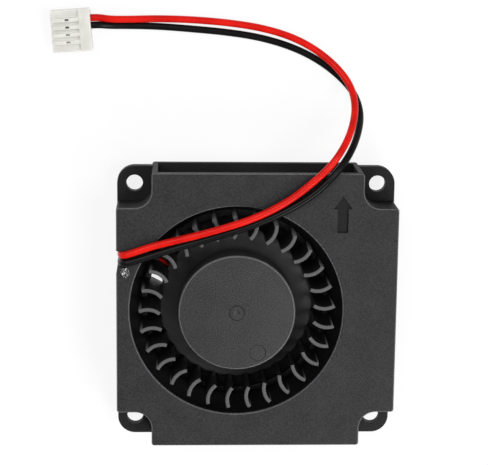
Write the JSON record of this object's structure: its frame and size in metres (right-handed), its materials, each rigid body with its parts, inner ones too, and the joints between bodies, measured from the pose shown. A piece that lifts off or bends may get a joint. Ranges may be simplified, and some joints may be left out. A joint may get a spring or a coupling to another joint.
{
  "type": "cooling fan",
  "caption": "Square flat centrifugal cooling fan: black scroll case with corner lugs, round inlet, side outlet, bladed impeller on a brushless motor, and red and black leads to a white plug.",
  "frame": {"origin": "centre of the case's square back, on the surface that the fan lies or is bolted on", "axes": "+Z out of the air inlet along the rotor axis, +Y out of the air outlet, +X to the right seen from the inlet with the outlet up"},
  "size_m": [0.0494, 0.0622, 0.0115],
  "materials": {
    "case_plastic": "fine spark-eroded texture, black glass-filled plastic",
    "rotor_plastic": "smooth moulded black plastic",
    "steel": "bright ground steel",
    "core_steel": "stamped silicon-steel laminations",
    "yoke_steel": "drawn and plated steel",
    "magnet": "bonded ferrite",
    "bronze": "oil-soaked sintered bronze",
    "copper": "enamelled copper wire",
    "pad_plastic": "white low-friction plastic",
    "insulator": "white moulded plastic",
    "board": "green solder mask",
    "chip": "moulded black epoxy",
    "ceramic": "tan ceramic with tinned ends",
    "solder": "bright tin solder",
    "red_insulation": "glossy soft red insulation",
    "black_insulation": "glossy soft black insulation",
    "nylon": "natural white nylon",
    "terminal": "tin-plated brass",
    "glue": "clear whitish hot-melt glue"
  },
  "bodies": {
    "fan_body": {"housing": "case_plastic", "back_cover": "case_plastic", "bearing_tube": "yoke_steel", "sleeve_bearing": "bronze", "thrust_pad": "pad_plastic", "stator_core": "core_steel", "insulator_lower": "insulator", "insulator_upper": "insulator", "coil_1": "copper", "coil_2": "copper", "coil_3": "copper", "coil_4": "copper", "circuit_board": "board", "winding_pins": "steel", "solder_joints": "solder", "driver_chip": "chip", "capacitor": "ceramic", "diode": "chip", "inner_lead_red": "red_insulation", "inner_lead_black": "black_insulation", "lead_red": "red_insulation", "lead_black": "black_insulation", "connector_housing": "nylon", "terminal_red": "terminal", "terminal_black": "terminal", "glue_drop": "glue"},
    "rotor": {"impeller": "rotor_plastic", "rotor_yoke": "yoke_steel", "magnet_ring": "magnet", "shaft": "steel", "shaft_clip": "steel", "wear_washer": "pad_plastic"}
  },
  "joints": [
    {"name": "rotor_spin", "type": "hinge", "parent": "fan_body", "child": "rotor", "pos_m": [-0.0028, -0.0005, 0.005], "axis": [0, 0, 1], "continuous": true}
  ]
}
